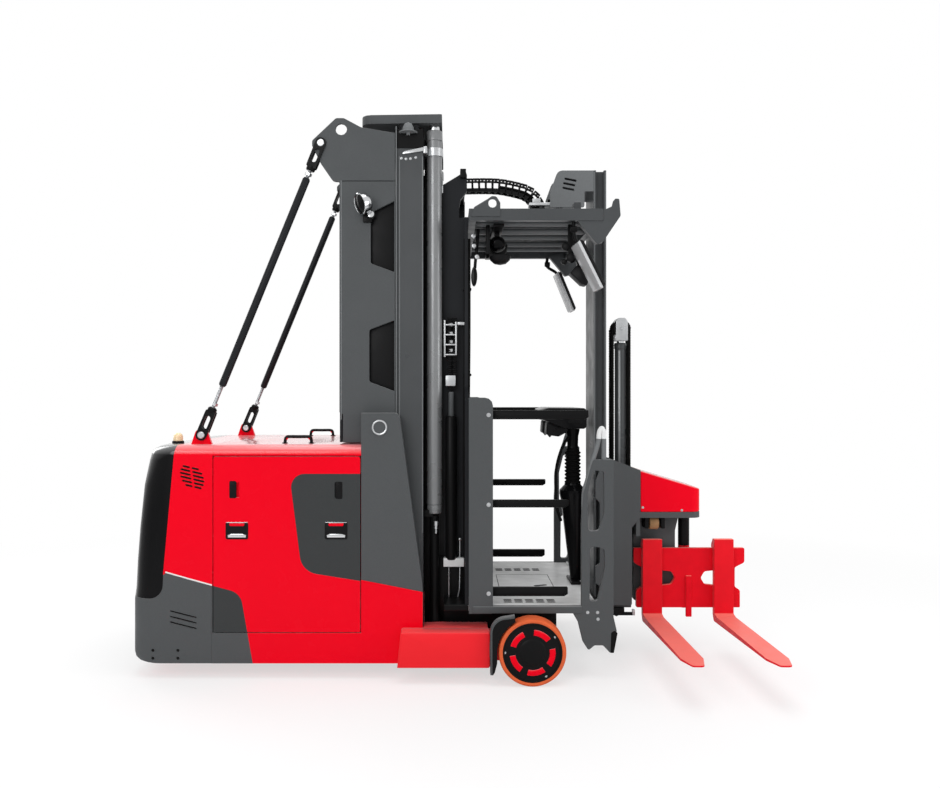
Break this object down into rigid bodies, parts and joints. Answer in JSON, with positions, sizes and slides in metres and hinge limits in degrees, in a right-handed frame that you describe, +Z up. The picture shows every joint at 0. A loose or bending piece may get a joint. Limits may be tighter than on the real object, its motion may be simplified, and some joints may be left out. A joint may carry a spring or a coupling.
{
  "type": "man-up very narrow aisle turret forklift truck",
  "caption": "Rider-up turret truck: battery chassis with stayed mast, rising open cab, side-shifting front mast, climbing swivel head and two forks on a plate.",
  "frame": {"origin": "bottom centre of the bounding box, on the floor", "axes": "+X along the truck from the counterweight end to the forks, +Y to the truck's left, +Z up"},
  "size_m": [3.634, 1.91, 3.2],
  "materials": {
    "red": "gloss",
    "grey": "satin",
    "dark_grey": "satin",
    "black": "matt",
    "black_metal": "satin",
    "orange": "matt",
    "silver": "satin",
    "light_grey": "textured",
    "steel_grey": "matt",
    "amber": "gloss",
    "mirror_glass": "gloss"
  },
  "bodies": {
    "chassis": {"chassis_shell": "red", "rear_cover": "black", "rear_bumper": "grey", "top_cover": "red", "battery": "steel_grey", "load_leg_r": "red", "load_leg_l": "red", "mast_foot_r": "grey", "mast_foot_l": "grey", "mast_side_plate_r": "grey", "mast_side_plate_l": "grey", "outer_rail_r": "dark_grey", "outer_rail_l": "dark_grey", "mast_back_sheet": "grey", "mast_cross_member": "dark_grey", "lift_barrel_r": "silver", "lift_barrel_l": "silver", "stay_r": "dark_grey", "stay_l": "dark_grey", "beacon": "amber", "work_lamp_r": "black", "work_lamp_l": "black"},
    "battery_door_r": {"battery_door_r": "red"},
    "battery_door_l": {"battery_door_l": "red"},
    "load_wheel_r": {"load_tyre_r": "orange", "load_hub_r": "black_metal"},
    "load_wheel_l": {"load_tyre_l": "orange", "load_hub_l": "black_metal"},
    "drive_unit": {"drive_unit": "black_metal"},
    "drive_wheel": {"drive_wheel": "orange"},
    "inner_mast": {"inner_rail_r": "dark_grey", "inner_rail_l": "dark_grey", "mast_crosshead": "grey"},
    "cab": {"cab_back_frame": "dark_grey", "cab_floor": "light_grey", "cab_rear_panel_r": "grey", "cab_rear_panel_l": "grey", "cab_front_panel_r": "grey", "cab_front_panel_l": "grey", "overhead_guard": "grey", "energy_chain": "black", "mirror_r": "mirror_glass", "mirror_l": "mirror_glass", "steering_column": "black", "control_head": "black"},
    "barrier_top_r": {"barrier_top_r": "black_metal"},
    "barrier_middle_r": {"barrier_middle_r": "black_metal"},
    "barrier_low_r": {"barrier_low_r": "black_metal"},
    "barrier_top_l": {"barrier_top_l": "black_metal"},
    "barrier_middle_l": {"barrier_middle_l": "black_metal"},
    "barrier_low_l": {"barrier_low_l": "black_metal"},
    "front_mast": {"aux_mast": "dark_grey", "aux_barrel": "silver"},
    "front_mast_rod": {"aux_rod": "silver"},
    "turret_head": {"head_frame": "grey", "head_hood": "red"},
    "forks": {"fork_carriage": "red", "fork_a": "red", "fork_b": "red"}
  },
  "joints": [
    {"name": "door_r_hinge", "type": "hinge", "parent": "chassis", "child": "battery_door_r", "pos_m": [-1.33, -0.449, 0.75], "axis": [0, 0, -1], "range_deg": [0, 110]},
    {"name": "door_l_hinge", "type": "hinge", "parent": "chassis", "child": "battery_door_l", "pos_m": [-1.33, 0.809, 0.75], "axis": [0, 0, 1], "range_deg": [0, 110]},
    {"name": "load_wheel_r_spin", "type": "hinge", "parent": "chassis", "child": "load_wheel_r", "pos_m": [0.439, -0.5415, 0.185], "axis": [0, 1, 0], "continuous": true},
    {"name": "load_wheel_l_spin", "type": "hinge", "parent": "chassis", "child": "load_wheel_l", "pos_m": [0.439, 0.9015, 0.185], "axis": [0, 1, 0], "continuous": true},
    {"name": "steer", "type": "hinge", "parent": "chassis", "child": "drive_unit", "pos_m": [-1.561, 0.18, 0.4], "axis": [0, 0, 1], "range_deg": [-90, 90]},
    {"name": "drive_spin", "type": "hinge", "parent": "drive_unit", "child": "drive_wheel", "pos_m": [-1.561, 0.18, 0.17], "axis": [0, 1, 0], "continuous": true},
    {"name": "mast_lift", "type": "slide", "parent": "chassis", "child": "inner_mast", "axis": [0, 0, 1], "range_m": [0, 1.9]},
    {"name": "cab_lift", "type": "slide", "parent": "inner_mast", "child": "cab", "axis": [0, 0, 1], "range_m": [0, 1.9]},
    {"name": "barrier_r_lift", "type": "hinge", "parent": "cab", "child": "barrier_top_r", "pos_m": [0.205, -0.411, 1.478], "axis": [0, -1, 0], "range_deg": [0, 88]},
    {"name": "barrier_r_middle_lift", "type": "hinge", "parent": "cab", "child": "barrier_middle_r", "pos_m": [0.205, -0.411, 0.977], "axis": [0, -1, 0], "range_deg": [0, 88]},
    {"name": "barrier_r_low_lift", "type": "hinge", "parent": "cab", "child": "barrier_low_r", "pos_m": [0.205, -0.411, 0.481], "axis": [0, -1, 0], "range_deg": [0, 88]},
    {"name": "barrier_l_lift", "type": "hinge", "parent": "cab", "child": "barrier_top_l", "pos_m": [0.205, 0.771, 1.478], "axis": [0, -1, 0], "range_deg": [0, 88]},
    {"name": "barrier_l_middle_lift", "type": "hinge", "parent": "cab", "child": "barrier_middle_l", "pos_m": [0.205, 0.771, 0.977], "axis": [0, -1, 0], "range_deg": [0, 88]},
    {"name": "barrier_l_low_lift", "type": "hinge", "parent": "cab", "child": "barrier_low_l", "pos_m": [0.205, 0.771, 0.481], "axis": [0, -1, 0], "range_deg": [0, 88]},
    {"name": "traverse", "type": "slide", "parent": "cab", "child": "front_mast", "axis": [0, 1, 0], "range_m": [-0.415, 0.415]},
    {"name": "head_lift", "type": "slide", "parent": "front_mast", "child": "turret_head", "axis": [0, 0, 1], "range_m": [0, 1.7]},
    {"name": "front_rod_lift", "type": "slide", "parent": "front_mast", "child": "front_mast_rod", "axis": [0, 0, 1], "range_m": [0, 0.85]},
    {"name": "fork_swivel", "type": "hinge", "parent": "turret_head", "child": "forks", "pos_m": [1.469, 0.18, 0.5], "axis": [0, 0, 1], "range_deg": [0, 180]}
  ],
  "couplings": [
    {"joint": "cab_lift", "follows": "mast_lift", "ratio": 1},
    {"joint": "barrier_r_middle_lift", "follows": "barrier_r_lift", "ratio": 1},
    {"joint": "barrier_r_low_lift", "follows": "barrier_r_lift", "ratio": 1},
    {"joint": "barrier_l_middle_lift", "follows": "barrier_l_lift", "ratio": 1},
    {"joint": "barrier_l_low_lift", "follows": "barrier_l_lift", "ratio": 1},
    {"joint": "front_rod_lift", "follows": "head_lift", "ratio": 0.5}
  ]
}
